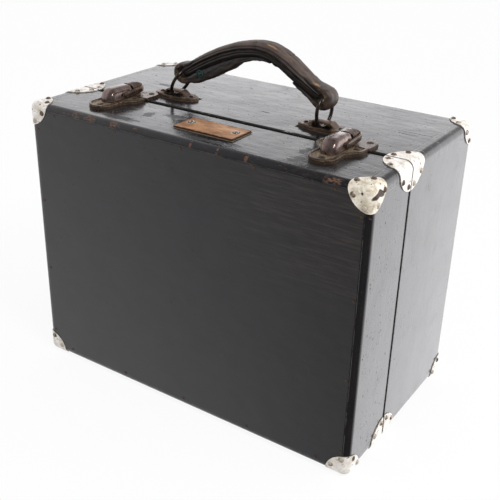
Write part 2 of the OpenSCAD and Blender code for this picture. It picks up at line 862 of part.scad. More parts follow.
color(wood_black) side_board(LID, lid_fingers, LEFT);  // lid_left_board
color(wood_black) side_board(LID, lid_fingers, RIGHT);  // lid_right_board
color(wood_black) panel(LID);  // front_panel
color(rust) panel_pins(LID);  // front_panel_pins
corner_cap(LID, LEFT, 1);  // lid_corner_cap_top_left
corner_cap(LID, RIGHT, 1);  // lid_corner_cap_top_right
corner_cap(LID, LEFT, 0);  // lid_corner_cap_bottom_left
corner_cap(LID, RIGHT, 0);  // lid_corner_cap_bottom_right
seam_cap(LID, LEFT, 1);  // lid_seam_cap_top_left
seam_cap(LID, RIGHT, 1);  // lid_seam_cap_top_right
seam_cap(LID, LEFT, 0);  // lid_seam_cap_bottom_left
seam_cap(LID, RIGHT, 0);  // lid_seam_cap_bottom_right
color(rust) cap_nails(LID);  // lid_cap_nails
color(rust) foot_nails(LID);  // lid_foot_nails
color(patina) at_catch(LEFT) catch_base();  // left_catch_base
color(patina) at_catch(RIGHT) catch_base();  // right_catch_base
color(steel)  // catch_base_screws
    for (side = [LEFT, RIGHT], p = base_screws)
        at_catch(side) translate([p[0], p[1], base_t]) screw(30 + p[0] * 2);
color(steel)  // catch_pivot_pins
    for (side = [LEFT, RIGHT]) at_catch(side) translate([0, pivot_y, pivot_z]) rotate([0, 90, 0])
        cylinder(r = pivot_pin_r, h = lever_w - 0.2, center = true);
color(copper)  // name_plate
    name_place() translate([0, 0, name_t / 2]) cube([name_w, name_d, name_t], center = true);
color(steel)  // name_plate_nails
    for (s = [-1, 1]) name_place() translate([s * 22.5, 2, name_t]) nail(8);
color(steel)  // hinge_lid_leaves
    for (side = [LEFT, RIGHT]) at_hinge(side) hinge_leaf(LID);
color(steel) hinge_screws(LID);  // hinge_lid_screws
color(patina) at_catch(LEFT) lever();  // left_lever
color(steel) at_catch(LEFT) loop_rivets();  // left_loop_rivets
color(patina) at_catch(RIGHT) lever();  // right_lever
color(steel) at_catch(RIGHT) loop_rivets();  // right_loop_rivets
color(patina) at_catch(LEFT) loop();  // left_loop
color(patina) at_catch(RIGHT) loop();  // right_loop
grip();  // handle_grip
core();  // handle_core
ring(LEFT);  // left_handle_ring
ring(RIGHT);  // right_handle_ring
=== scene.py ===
"""Looks for the deed box: black varnished wood, pale metal caps, two catches and a leather handle."""
import math

import bpy
from mathutils import Matrix, Vector, noise


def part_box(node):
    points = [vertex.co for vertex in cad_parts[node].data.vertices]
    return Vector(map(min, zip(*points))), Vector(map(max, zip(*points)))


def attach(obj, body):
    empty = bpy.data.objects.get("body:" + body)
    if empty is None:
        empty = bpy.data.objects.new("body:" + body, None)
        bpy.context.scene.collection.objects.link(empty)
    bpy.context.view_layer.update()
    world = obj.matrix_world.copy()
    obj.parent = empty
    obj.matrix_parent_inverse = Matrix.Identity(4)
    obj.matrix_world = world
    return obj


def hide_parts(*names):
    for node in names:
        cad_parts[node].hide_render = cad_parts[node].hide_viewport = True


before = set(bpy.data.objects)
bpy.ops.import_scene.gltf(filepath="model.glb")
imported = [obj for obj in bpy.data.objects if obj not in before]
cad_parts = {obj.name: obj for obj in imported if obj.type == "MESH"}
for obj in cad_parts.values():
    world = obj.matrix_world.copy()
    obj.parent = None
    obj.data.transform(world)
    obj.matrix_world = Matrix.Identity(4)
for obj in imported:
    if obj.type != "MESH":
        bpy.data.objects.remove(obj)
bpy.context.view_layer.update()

MM = 0.001

# Places in the frame, in millimetres
board_low, board_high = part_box("case_top_board")
foot_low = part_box("case_bottom_board")[0]
CASE_HALF_W = board_high.x / MM
CASE_LOW = foot_low.z / MM
CASE_TOP = board_high.z / MM
LID_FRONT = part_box("front_panel")[0].y / MM
CASE_BACK = board_high.y / MM
SEAM_Y = board_low.y / MM - 0.6
BOARD_T = (board_high.z - board_low.z) / MM
PANEL_T = 6.0
PANEL_INSET = 5.5
ring_low, ring_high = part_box("left_handle_ring")
HANDLE_Y = 0.5 * (ring_low.y + ring_high.y) / MM
RING_Z = 15.5
RING_R = 13.0
EYE_DROP = 1.4
LEFT_RING_X, RIGHT_RING_X = -71.5, 77.0
RING_LEAN = math.radians(24)
plate_low, plate_high = (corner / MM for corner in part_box("name_plate"))


# Node trees

class Value:
    """A number that varies over a surface, with arithmetic."""

    def __init__(self, look, socket):
        self.look = look
        self.socket = socket

    def __add__(self, other):
        return self.look.maths("ADD", self, other)

    def __sub__(self, other):
        return self.look.maths("SUBTRACT", self, other)

    def __rsub__(self, other):
        return self.look.maths("SUBTRACT", other, self)

    def __mul__(self, other):
        return self.look.maths("MULTIPLY", self, other)

    def __truediv__(self, other):
        return self.look.maths("DIVIDE", self, other)

    def __abs__(self):
        return self.look.maths("ABSOLUTE", self)

    def least(self, other):
        return self.look.maths("MINIMUM", self, other)

    def most(self, other):
        return self.look.maths("MAXIMUM", self, other)

    def band(self, low, high):
        """0 at low, 1 at high and a straight slope between them."""
        node = self.look.nodes.new("ShaderNodeMapRange")
        node.clamp = True
        self.look.feed(self, node.inputs["Value"])
        node.inputs["From Min"].default_value = low
        node.inputs["From Max"].default_value = high
        return Value(self.look, node.outputs["Result"])

    __radd__ = __add__
    __rmul__ = __mul__


class Look:
    """One material and its node tree. Places and sizes are in millimetres of the row frame."""

    def __init__(self, name):
        self.material = bpy.data.materials.new(name)
        self.material.use_nodes = True
        self.nodes = self.material.node_tree.nodes
        self.links = self.material.node_tree.links
        self.nodes.clear()
        coordinates = self.nodes.new("ShaderNodeTexCoord")
        scale = self.nodes.new("ShaderNodeVectorMath")
        scale.operation = "SCALE"
        scale.inputs["Scale"].default_value = 1 / MM
        self.links.new(coordinates.outputs["Object"], scale.inputs[0])
        self.place = scale.outputs[0]
        parts = self.nodes.new("ShaderNodeSeparateXYZ")
        self.links.new(self.place, parts.inputs[0])
        self.x, self.y, self.z = (Value(self, s) for s in parts.outputs)

    def feed(self, source, socket):
        if isinstance(source, Value):
            self.links.new(source.socket, socket)
        elif isinstance(source, bpy.types.NodeSocket):
            self.links.new(source, socket)
        elif isinstance(source, (tuple, list)):
            socket.default_value = (*source[:3], 1.0) if len(socket.default_value) == 4 else source
        else:
            socket.default_value = source

    def maths(self, operation, a, b=0.0):
        node = self.nodes.new("ShaderNodeMath")
        node.operation = operation
        self.feed(a, node.inputs[0])
        self.feed(b, node.inputs[1])
        return Value(self, node.outputs[0])

    def attribute(self, name):
        """A number stored with the vertices."""
        node = self.nodes.new("ShaderNodeAttribute")
        node.attribute_name = name
        return Value(self, node.outputs["Fac"])

    def mapped(self, size, stretch, offset):
        """The place, moved by an offset and measured in sizes, longer along each axis by its stretch."""
        mapping = self.nodes.new("ShaderNodeMapping")
        self.feed(self.place, mapping.inputs["Vector"])
        mapping.inputs["Location"].default_value = offset
        mapping.inputs["Scale"].default_value = [1 / (size * s) for s in stretch]
        return mapping.outputs[0]

    def noise(self, size, detail=3.0, shift=0.0, stretch=(1, 1, 1), rough=0.55, warp=0.0):
        """Noise whose blotches are about size across."""
        place = self.mapped(size, stretch, (shift, shift * 1.7, shift * 0.6))
        node = self.nodes.new("ShaderNodeTexNoise")
        node.inputs["Scale"].default_value = 1.0
        node.inputs["Detail"].default_value = detail
        node.inputs["Roughness"].default_value = rough
        node.inputs["Distortion"].default_value = warp
        self.links.new(place, node.inputs["Vector"])
        return Value(self, node.outputs["Fac"])

    def cells(self, size, shift=0.0, stretch=(1, 1, 1)):
        """A texture of cells, about size across."""
        place = self.mapped(size, stretch, (shift, shift, shift))
        node = self.nodes.new("ShaderNodeTexVoronoi")
        node.inputs["Scale"].default_value = 1.0
        self.links.new(place, node.inputs["Vector"])
        return node

    def dots(self, spacing, radius, share, shift=0.0, stretch=(1, 1, 1)):
        """1 in a small speck. A share of the cells, one for each spacing, has a speck."""
        node = self.cells(spacing, shift, stretch)
        near = Value(self, node.outputs["Distance"]).band(radius / spacing, 0.6 * radius / spacing)
        split = self.nodes.new("ShaderNodeSeparateColor")
        self.links.new(node.outputs["Color"], split.inputs[0])
        chosen = self.maths("LESS_THAN", Value(self, split.outputs[0]), share)
        return near * chosen

    def crevice(self, reach, low, high):
        """1 where other surfaces are within reach."""
        node = self.nodes.new("ShaderNodeAmbientOcclusion")
        node.samples = 6
        node.inputs["Distance"].default_value = reach * MM
        return Value(self, node.outputs["AO"]).band(high, low)

    def mix(self, factor, a, b):
        """A colour between a and b."""
        node = self.nodes.new("ShaderNodeMix")
        node.data_type = "RGBA"
        self.feed(factor, node.inputs["Factor"])
        self.feed(a, node.inputs[6])
        self.feed(b, node.inputs[7])
        return node.outputs[2]

    def blend(self, factor, a, b):
        """A number between a and b."""
        node = self.nodes.new("ShaderNodeMix")
        node.data_type = "FLOAT"
        self.feed(factor, node.inputs[0])
        self.feed(a, node.inputs[2])
        self.feed(b, node.inputs[3])
        return Value(self, node.outputs[0])

    def bump(self, height, normal=None):
        """The normal over a height in millimetres."""
        node = self.nodes.new("ShaderNodeBump")
        node.inputs["Strength"].default_value = 1.0
        node.inputs["Distance"].default_value = MM
        self.feed(height, node.inputs["Height"])
        if normal is not None:
            self.links.new(normal, node.inputs["Normal"])
        return node.outputs["Normal"]

    def bevel(self, radius):
        """The normal with edges rounded off."""
        node = self.nodes.new("ShaderNodeBevel")
        node.samples = 4
        node.inputs["Radius"].default_value = radius * MM
        return node.outputs["Normal"]

    def finish(self, colour, rough, metallic=0.0, normal=None):
        shader = self.nodes.new("ShaderNodeBsdfPrincipled")
        self.feed(colour, shader.inputs["Base Color"])
        self.feed(rough, shader.inputs["Roughness"])
        self.feed(metallic, shader.inputs["Metallic"])
        shader.inputs["IOR"].default_value = 1.5
        if normal is not None:
            self.links.new(normal, shader.inputs["Normal"])
        output = self.nodes.new("ShaderNodeOutputMaterial")
        self.links.new(shader.outputs[0], output.inputs["Surface"])
        return self.material


def srgb(r, g, b):
    """The linear colour of an 8-bit screen colour."""
    def linear(c):
        c /= 255
        return c / 12.92 if c <= 0.04045 else ((c + 0.055) / 1.055) ** 2.4
    return linear(r), linear(g), linear(b)


# Wood

LID_FINGER = (SEAM_Y - 0.6 - LID_FRONT) / 5
CASE_FINGER = (CASE_BACK - SEAM_Y - 0.6) / 9


def case_distances(look):
    """Distances in from the outer faces of the whole case: sides, front or back, top or bottom."""
    dx = CASE_HALF_W - abs(look.x)
    middle_y = (LID_FRONT + CASE_BACK) / 2
    middle_z = (CASE_LOW + CASE_TOP) / 2
    dy = (CASE_BACK - LID_FRONT) / 2 - abs(look.y - middle_y)
    dz = (CASE_TOP - CASE_LOW) / 2 - abs(look.z - middle_z)
    return dx, dy, dz


def bare_wood_colour(look, stretch):
    """Brown wood with rings along its grain and dark stains."""
    rings = look.noise(2.2, 4, 31, stretch, warp=0.4)
    stain = look.noise(60, 2, 12)
    pale = look.mix(rings.band(0.35, 0.7), srgb(150, 108, 66), srgb(103, 68, 40))
    return look.mix(stain.band(0.4, 0.75), pale, srgb(88, 60, 40))


def spot(look, place, reach, uneven):
    """1 in a ragged ellipse on the top. Place and reach are X and Y."""
    dx = (look.x - place[0]) / reach[0]
    dy = (look.y - place[1]) / reach[1]
    return (dx * dx + dy * dy + uneven).band(1.0, 0.4)


# Added to a smear where the surface has no gloss left
DULL = 3.0
# Dull smears on the top: X, Y, half length, half width
SMEARS = [
    (-76, -84, 20, 5), (-62, -60, 5, 10), (-62, -25, 10, 5), (-40, -52, 12, 5), (16, -86, 28, 3),
    (96, -80, 8, 9), (118, -84, 12, 5), (92, -60, 5, 8), (84, -12, 7, 5), (127, -66, 6, 8), (96, -34, 5, 4),
    (-111, 21, 8, 4),
]
# Small cracks on the top: X, Y, half length, half width
CRACKS = [(13.5, 6.4, 5.8, 1.1), (146, 33, 24, 0.7), (139, 27, 11, 0.9)]
# Places along the top front edge that are rubbed down to the wood: X, half length
WORN_EDGES = [(137, 8), (-97, 5), (-116, 3), (-72, 4), (9, 1.3), (35, 1.2), (62, 1.8)]


def worn_wood(look, dx, dy, dz, seed):
    """1 where the edges are rubbed down to brown wood, most of all along the top front edge."""
    second_nearest = dx.least(dy).most(dx.most(dy).least(dz))
    blotch = look.noise(14, 4, seed)
    fine_blotch = look.noise(2.4, 4, seed + 3, (2.6, 1, 1))
    front_top = look.y.band(LID_FRONT + 6, LID_FRONT + 1) * look.z.band(CASE_TOP - 8, CASE_TOP - 3)
    rub = second_nearest.band(3.2, 1.8) * blotch.band(0.58, 0.70) * fine_blotch.band(0.52, 0.64)
    front_top = front_top * fine_blotch.band(0.56, 0.64)
    rub = rub.most(front_top * look.noise(20, 3, seed + 1, (1.6, 1, 1)).band(0.50, 0.62))
    for x, half in WORN_EDGES:
        along = (abs(look.x - x) / half + look.noise(2.6, 4, x, (2.2, 1, 1)) - 0.5).band(1.0, 0.75)
        low = look.z.band(CASE_TOP - 5.5, CASE_TOP - 3.5) * look.y.band(LID_FRONT + 4, LID_FRONT + 2.5)
        rub = rub.most(along * low * look.noise(1.3, 4, x + 5, (2.5, 1, 1)).band(0.42, 0.52))
    return rub


def joint_lines(look, dx, dy, dz):
    """1 on the line round the panel in its rebate, and 1 on the lines between the corners' fingers."""
    fingers = ((look.y - (SEAM_Y + 0.6)) / CASE_FINGER).most(((SEAM_Y - 0.6) - look.y) / LID_FINGER)
    to_line = abs(look.maths("FRACT", fingers + 0.5) - 0.5)
    at_corner = dx.most(dz).band(BOARD_T + 0.3, BOARD_T) * dy.band(0.3, 0.6)
    joint = to_line.band(0.03, 0.012) * at_corner
    board_end = abs(dx.most(dz) - BOARD_T).band(0.45, 0.15) * dx.least(dz).band(2.5, 0.5)
    joint = joint.most(board_end * dy.band(1.0, 3.0))
    rebate = abs(dx.least(dz) - PANEL_INSET).band(0.55, 0.2) * dy.band(1.2, 0.4)
    return rebate, joint


def outside_of(look, low, high):
    """How far a place is outside a box in X and Y, below 0 inside it. Corners are in millimetres."""
    over_x = abs(look.x - (low.x + high.x) / 2) - (high.x - low.x) / 2
    over_y = abs(look.y - (low.y + high.y) / 2) - (high.y - low.y) / 2
    return over_x.most(over_y)


def top_marks(look, seed, on_top, colour, smear, height):
    """Adds smears, cracks and the seam's worn edges to the top."""
    ragged = (look.noise(5, 5, seed + 29, (2.0, 1, 1), rough=0.7) - 0.5) * 4.5
    for x, y, across, deep in SMEARS:
        smear = smear.most(spot(look, (x, y), (across, deep), ragged) * on_top * 0.8)
    for x, y, across, deep in CRACKS:
        uneven = (look.noise(2.5, 2, 3) - 0.5) * 1.6
        crack = spot(look, (x, y), (across, deep), uneven) * on_top
        smear = smear.most(crack)
        height = height - crack * 0.25
        colour = look.mix(crack * 0.9, colour, (0.010, 0.008, 0.007))

    # Both edges of the seam are rubbed, so they mirror the dark above, and dirt lies along them
    case_edge = look.y.band(SEAM_Y + 5.2, SEAM_Y + 0.6) * look.y.band(SEAM_Y + 0.4, SEAM_Y + 0.6) * on_top
    case_edge = case_edge * look.noise(6, 3, seed + 47, (2, 1, 1)).band(0.25, 0.45)
    height = height - case_edge * 4.4
    lid_lip = look.y.band(SEAM_Y - 2.3, SEAM_Y - 0.6) * look.y.band(SEAM_Y + 0.2, SEAM_Y) * on_top
    height = height + lid_lip * 1.7
    lid_edge = look.y.band(SEAM_Y - 2.6, SEAM_Y - 1.4) * look.y.band(SEAM_Y, SEAM_Y - 0.2) * on_top
    smear = smear.most(case_edge.most(lid_edge) * DULL)

    # Inside the bridges of the handle plates the wood is dull with dirt
    for label in ("left_handle_plate", "right_handle_plate"):
        low, high = (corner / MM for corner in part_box(label))
        under = outside_of(look, low, high).band(-0.6, -1.2) * look.z.band(CASE_TOP - 9, CASE_TOP - 8)
        smear = smear.most(under * DULL)
    return colour, smear, height


def wax_round_plate(look, on_top):
    """1 where dried wax shows round the name plate."""
    beyond = outside_of(look, plate_low, plate_high)
    return beyond.band(1.5, 1.0) * beyond.band(-0.4, 0.0) * on_top * look.noise(3, 3).band(0.32, 0.46)


def varnish(name, grain, seed, waves, specks, fleck_share, has_streaks=False):
    """Black varnish brushed over wood.

    The nodes are made in an order that keeps few values waiting, because the renderer has room for few.
    The grain runs along an axis. Waves is the height of the lumps, specks the share of round specks,
    and fleck_share the share of short open grain. The front and back panels have streaks.
    """
    look = Look(name)
    axis = "xyz".index(grain)
    long, short = [1, 1, 1], [1, 1.2, 1]
    long[axis], short[axis] = 22, 2.4
    dx, dy, dz = case_distances(look)
    on_top = look.z.band(CASE_TOP - 2.5, CASE_TOP - 1.0)
    is_top = grain == "x" and not has_streaks

    # Black, with pale brush streaks, and brown where it is rubbed through or chipped
    rub = worn_wood(look, dx, dy, dz, seed)
    chips = look.dots(30, 0.36, 0.3, seed).most(look.dots(19, 0.24, 0.14, seed + 5))
    chip_tone = look.noise(40, 2, seed + 17).band(0.35, 0.65)
    tint = look.noise(70, 3, seed + 11)
    black = look.mix(tint.band(0.4, 0.7), (0.0072, 0.0070, 0.0084), (0.0108, 0.0094, 0.0092))
    streak = look.noise(1.4, 5, seed + 2, long, rough=0.62)
    black = look.mix(streak.band(0.54, 0.72) * 0.40, black, (0.022, 0.020, 0.019))
    if has_streaks:
        corner = look.x.band(10, 150) * look.z.band(120, 235)
        strokes = look.noise(1.2, 4, seed + 7, long, rough=0.6)
        black = look.mix(corner * strokes.band(0.50, 0.66) * 0.8, black, (0.042, 0.032, 0.026))
        black = look.mix(corner * strokes.band(0.46, 0.34) * 0.8, black, (0.002, 0.002, 0.002))
        black = look.mix(corner * 0.35, black, (0.017, 0.0125, 0.0105))
    brown = look.mix(look.noise(1.1, 2).band(0.3, 0.7), srgb(64, 45, 35), srgb(122, 86, 62))
    colour = look.mix(rub * 0.75, black, brown)
    colour = look.mix(chips * (0.25 + chip_tone * 0.45), colour, srgb(142, 112, 86))

    rebate, joint = joint_lines(look, dx, dy, dz)
    line_shape = look.noise(9, 3, seed + 21).band(0.35, 0.55)
    colour = look.mix(rebate * line_shape * 0.8, colour, (0.003, 0.003, 0.003))
    colour = look.mix(joint * line_shape * 0.45, colour, (0.004, 0.003, 0.003))

    # Short open grain and round specks, which are dull and dark
    fleck = look.dots(1.7, 0.52, fleck_share, seed + 9, short) * 0.6
    fleck = fleck.most(look.dots(5.3, 0.72, fleck_share * 0.3, seed + 51, short))
    fleck = fleck * look.noise(17, 3, seed + 23).band(0.30, 0.55)
    if grain == "z":
        fleck = fleck * (look.y.band(SEAM_Y + 30, SEAM_Y - 20) * 0.75 + 0.25)
    fleck = fleck.most(look.dots(13, 0.62, specks, seed + 27)).most(look.dots(8, 0.42, specks, seed + 43))
    colour = look.mix(fleck * 0.8, colour, (0.003, 0.003, 0.003))

    smear = look.noise(30, 3, seed + 31).band(0.62, 0.76) * 0.3
    height = look.noise(2.1, 3, seed + 6, [1 + (s - 1) * 0.6 for s in long]) * 0.05
    if is_top:
        colour, smear, height = top_marks(look, seed, on_top, colour, smear, height)
    grime = look.crevice(5.0, 0.35, 0.85) * look.noise(2.0, 4).band(0.35, 0.6)
    colour = look.mix(grime * 0.5, colour, (0.012, 0.010, 0.009))
    crust = look.crevice(1.5, 0.35, 0.7) * look.noise(1.6, 4).band(0.40, 0.55) * on_top
    if is_top:
        crust = crust.most(wax_round_plate(look, on_top))
    colour = look.mix(crust * 0.75, colour, srgb(134, 118, 96))
    # Painted shade: the rounded edges on both sides of the seam are painted near black, for the shade and
    # dark reflection in the seam's groove, and made rougher
    rim = abs(look.y - SEAM_Y).band(3.2, 1.6) * dx.least(dz).band(2.5, 1.0)
    colour = look.mix(rim * 0.9, colour, (0.003, 0.003, 0.003))

    # Inside, and where the halves meet, the wood is bare
    depth = (dx - BOARD_T).least(dz - BOARD_T).least(dy - PANEL_T)
    meeting = abs(look.y - SEAM_Y).band(0.95, 0.85) * dx.least(dz).band(2.6, 3.2)
    bare = depth.band(-0.25, -0.15).most(meeting)
    colour = look.mix(bare, colour, bare_wood_colour(look, long))

    cloud = look.noise(26, 4, seed + 4)
    rough = 0.11 + streak.band(0.3, 0.75) * 0.06 + cloud.band(0.38, 0.68) * 0.09
    rough = rough + rub * 0.3 + grime * 0.3 + smear * 0.30 + fleck * 0.42 + rim * 0.3 + crust * 0.4
    rough = look.blend(bare, rough, 0.72)

    ripples = look.noise(4.2, 2, seed + 33, [1 + (s - 1) * 0.08 for s in long])
    lumps = look.noise(24, 2, seed + 13, (1.5, 1, 1))
    height = height + streak * 0.03 + lumps * waves + ripples * waves * 0.22
    height = height - fleck * 0.08 - rub * 0.05 + crust * 0.2
    height = height + smear * look.noise(1.6, 3, seed + 37, (2.2, 1, 1)) * 0.12
    height = height - rebate * line_shape * 0.25 - joint * line_shape * 0.10
    return look.finish(colour, rough, normal=look.bump(height))


# Metal

def cap_paint(name, seed, pale, dull, patch=None):
    """Worn paint over steel, from pale to dull. Patch is the place and the reach of a bare dark patch."""
    look = Look(name)
    cloud = look.noise(6.5, 4, seed)
    fine = look.noise(1.6, 5, seed + 4)
    base = look.mix(cloud.band(0.38, 0.66), pale, dull)
    base = look.mix(fine.band(0.54, 0.72) * 0.6, base, srgb(148, 133, 113))
    smudge = look.noise(3.0, 4, seed + 12, (1.6, 1, 1), rough=0.65).band(0.57, 0.68)
    base = look.mix(smudge * 0.6, base, srgb(120, 101, 82))
    scratch = look.noise(1.0, 3, seed + 8, (5, 1, 1)).band(0.62, 0.68)
    scratch = scratch * look.noise(8, 2, seed + 5).band(0.45, 0.58)
    base = look.mix(scratch * 0.8, base, srgb(88, 72, 60))
    rusty = look.crevice(2.4, 0.3, 0.82) * fine.band(0.3, 0.52)
    chips = look.noise(3.4, 4, seed + 15).band(0.645, 0.67)
    bare = rusty.most(chips)
    if patch:
        place, reach = patch
        warp = (look.noise(2.6, 3, 3) - 0.5) * 2.6
        across = abs(look.y - place[1]) / 2.1
        up = abs(look.z - place[2] + across * 0.9)
        oval = across * across + up * up * 1.6 + warp * reach * 0.9
        scar = oval.band(reach * reach, 0.8 * reach * reach)
        bare = bare.most(scar * abs(look.x - place[0]).band(5.5, 4.5))
    dark = look.mix(look.noise(0.9, 3).band(0.4, 0.65), srgb(52, 42, 38), srgb(92, 72, 58))
    colour = look.mix(bare, base, dark)
    # Painted shade: the caps are darkened next to the seam, for the shadow in the gap between the two
    # halves
    seam_gap_shade = abs(look.y - SEAM_Y).band(1.1, 0.6)
    colour = look.mix(seam_gap_shade * 0.85, colour, srgb(46, 38, 34))
    rough = look.blend(bare, 0.34, 0.6) + cloud.band(0.4, 0.7) * 0.12
    height = look.noise(4.5, 3, seed + 1) * 0.30 + fine * 0.06 - bare * 0.14 - smudge * 0.05
    metallic = look.blend(bare, 0.12, 0.35)
    return look.finish(colour, rough, metallic, look.bump(height))


def rusty_iron(name, seed, tone=1.0, dark=srgb(84, 62, 48), light=srgb(128, 98, 74), paint=0.0):
    """Rusty iron. Paint is how much of it is left on the places that still have some."""
    look = Look(name)
    spots = look.noise(1.1, 4, seed)
    colour = look.mix(spots.band(0.35, 0.65), [c * tone for c in dark], [c * tone for c in light])
    if paint:
        painted = look.noise(11, 2, seed + 2).band(0.47, 0.53) * spots.band(0.66, 0.56)
        colour = look.mix(painted * paint, colour, srgb(204, 195, 180))
    height = spots * 0.16
    return look.finish(colour, 0.62 - spots.band(0.4, 0.8) * 0.15, metallic=0.4, normal=look.bump(height))


def patina(name, seed, dark, light, rust_share, shine, rounding=0.35, crusted=0.0, painted_hole=None):
    """Old plated steel, smooth where it is handled, with brown dirt in the corners.

    Crusted is the height over the top at which tan crust lies. Painted hole is the Y and Z of a hole's
    middle and its radius; no hole is cut, a near-black disc of painted shade stands in for it.
    """
    look = Look(name)
    cloud = look.noise(7, 4, seed)
    fine = look.noise(1.2, 4, seed + 2)
    colour = look.mix(cloud.band(0.35, 0.7), dark, light)
    dirt = (look.crevice(3.0, 0.3, 0.85) * fine.band(0.3, 0.55)).most(
        look.noise(4, 4, seed + 6).band(rust_share, rust_share + 0.07))
    brown = look.mix(fine.band(0.35, 0.65), srgb(78, 58, 42), srgb(126, 98, 70))
    colour = look.mix(dirt * 0.85, colour, brown)
    if crusted:
        crust = look.z.band(CASE_TOP + crusted + 0.4, CASE_TOP + crusted - 0.1) * fine.band(0.42, 0.56)
        crust = crust * look.z.band(CASE_TOP + crusted - 0.6, CASE_TOP + crusted - 0.4)
        colour = look.mix(crust * 0.8, colour, srgb(152, 134, 108))
        dirt = dirt.most(crust)
    # Painted shade: a near-black disc on the lever's sides stands in for the shadowed bore of a hole that
    # the mesh doesn't have
    if painted_hole:
        dy, dz = look.y - painted_hole[0], look.z - painted_hole[1]
        inside = (dy * dy + dz * dz).band(painted_hole[2] * painted_hole[2] * 1.3, painted_hole[2] * painted_hole[2] * 0.7)
        colour = look.mix(inside, colour, (0.002, 0.002, 0.002))
        dirt = dirt.most(inside)
    rough = look.blend(dirt, shine, 0.66) + (fine - 0.5) * 0.2
    height = fine * 0.06 + look.noise(3.5, 2, seed + 9) * 0.12 - dirt * 0.04
    metallic = look.blend(dirt, 0.8, 0.2)
    return look.finish(colour, rough, metallic, look.bump(height, look.bevel(rounding)))


def tarnished_copper(name, nails):
    """Brown copper, tarnished darker at its edges, with painted shade on its edge faces, a pale ring round
    each nail and a ring of painted shadow round each nail head.
    """
    look = Look(name)
    cloud = look.noise(11, 4, 4, (1.6, 1, 1))
    fine = look.noise(1.3, 4, 7, (3, 1, 1))
    colour = look.mix(cloud.band(0.36, 0.66), srgb(198, 145, 97), srgb(140, 96, 60))
    colour = look.mix(fine.band(0.52, 0.72) * 0.55, colour, srgb(92, 64, 46))
    edge = 0 - outside_of(look, plate_low, plate_high)
    dark_edge = edge.band(1.8, 0.5) * look.noise(3, 3).band(0.35, 0.5)
    colour = look.mix(dark_edge * 0.8, colour, srgb(84, 56, 40))
    # Painted shade: the plate's edge faces are painted dark brown, for the shadow gap under its edge
    side = look.z.band(plate_high.z - 0.25, plate_high.z - 0.45)
    colour = look.mix(side * 0.85, colour, srgb(52, 36, 28))
    for x, y in nails:
        dx, dy = look.x - x, look.y - y
        away = look.maths("SQRT", dx * dx + dy * dy) + (fine - 0.5) * 1.2
        colour = look.mix(away.band(5.0, 3.8) * 0.8, colour, srgb(196, 176, 150))
        # Painted shadow: the dark ring hugs each nail head, where the head shades the plate
        colour = look.mix(away.band(3.7, 3.2), colour, srgb(50, 40, 34))
    rough = 0.40 + cloud.band(0.3, 0.7) * 0.2
    height = look.noise(8, 2) * 0.3 + fine * 0.04
    return look.finish(colour, rough, metallic=0.45, normal=look.bump(height, look.bevel(0.5)))


# Leather

def old_leather(name):
    """Dark, cracked leather, worn brown on its top and tan where it is rubbed through, with painted shade
    in its cracks and grooves.
    """
    look = Look(name)
    worn = look.attribute("worn")
    raw = look.attribute("raw")
    deep = look.attribute("deep")
    pores = Value(look, look.cells(0.75, 3).outputs["Distance"])
    grain = look.noise(3.2, 5, 9, (3.2, 1, 1.6), rough=0.62)
    cloud = look.noise(9, 4, 2, (1.6, 1, 1))
    black = look.mix(grain.band(0.4, 0.7), (0.010, 0.0085, 0.0080), (0.026, 0.020, 0.017))
    brown = look.mix(cloud.band(0.36, 0.66), srgb(66, 53, 47), srgb(94, 76, 67))
    brown = look.mix(grain.band(0.55, 0.75) * 0.5, brown, srgb(100, 80, 66))
    colour = look.mix(worn * (0.55 + grain.band(0.3, 0.65) * 0.45), black, brown)
    tan = look.mix(cloud.band(0.35, 0.7), srgb(142, 108, 74), srgb(104, 77, 53))
    colour = look.mix(raw, colour, tan)
    # Painted shade: the deep attribute paints the cracks and the grooves along the top near black
    colour = look.mix(deep, colour, (0.006, 0.005, 0.005))
    rough = 0.42 + worn * 0.14 + raw * 0.25 + (grain - 0.5) * 0.3
    height = grain * 0.22 - pores * 0.07 + cloud * 0.12
    return look.finish(colour, rough, normal=look.bump(height))


# Mesh tools

def mesh_object(name, vertices, faces, body, material):
    """A smooth piece on a body, from vertices in millimetres of the row frame."""
    mesh = bpy.data.meshes.new(name)
    mesh.from_pydata([Vector(v) * MM for v in vertices], [], faces)
    mesh.validate()
    mesh.update()
    for polygon in mesh.polygons:
        polygon.use_smooth = True
    piece = bpy.data.objects.new(name, mesh)
    bpy.context.scene.collection.objects.link(piece)
    piece.data.materials.append(material)
    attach(piece, body)
    return piece


def tube_faces(rings, around):
    """The faces of a closed tube whose rings of vertices lie one after another."""
    faces = []
    for i in range(rings - 1):
        for k in range(around):
            a, b = i * around + k, i * around + (k + 1) % around
            faces.append((a, b, b + around, a + around))
    faces.append(tuple(reversed(range(around))))
    faces.append(tuple(range((rings - 1) * around, rings * around)))
    return faces


def smooth_route(route, steps):
    """Points on a smooth curve through the route, with its widths."""
    last = len(route) - 1
    result = []
    for i in range(last):
        a, b, c, d = (route[max(0, min(last, j))] for j in (i - 1, i, i + 1, i + 2))
        for k in range(steps + (1 if i == last - 1 else 0)):
            t = k / steps
            result.append([0.5 * (2 * q + (r - p) * t + (2 * p - 5 * q + 4 * r - s) * t * t
                                  + (3 * q - p - 3 * r + s) * t ** 3) for p, q, r, s in zip(a, b, c, d)])
    return result


def soft_step(value, low, high):
    """0 up to low, 1 from high on and a smooth rise between them."""
    t = max(0.0, min(1.0, (value - low) / (high - low)))
    return t * t * (3 - 2 * t)


def hump(value, centre, width):
    """1 at the centre, falling off smoothly on both sides."""
    return math.exp(-((value - centre) / width) ** 2)


# Handle

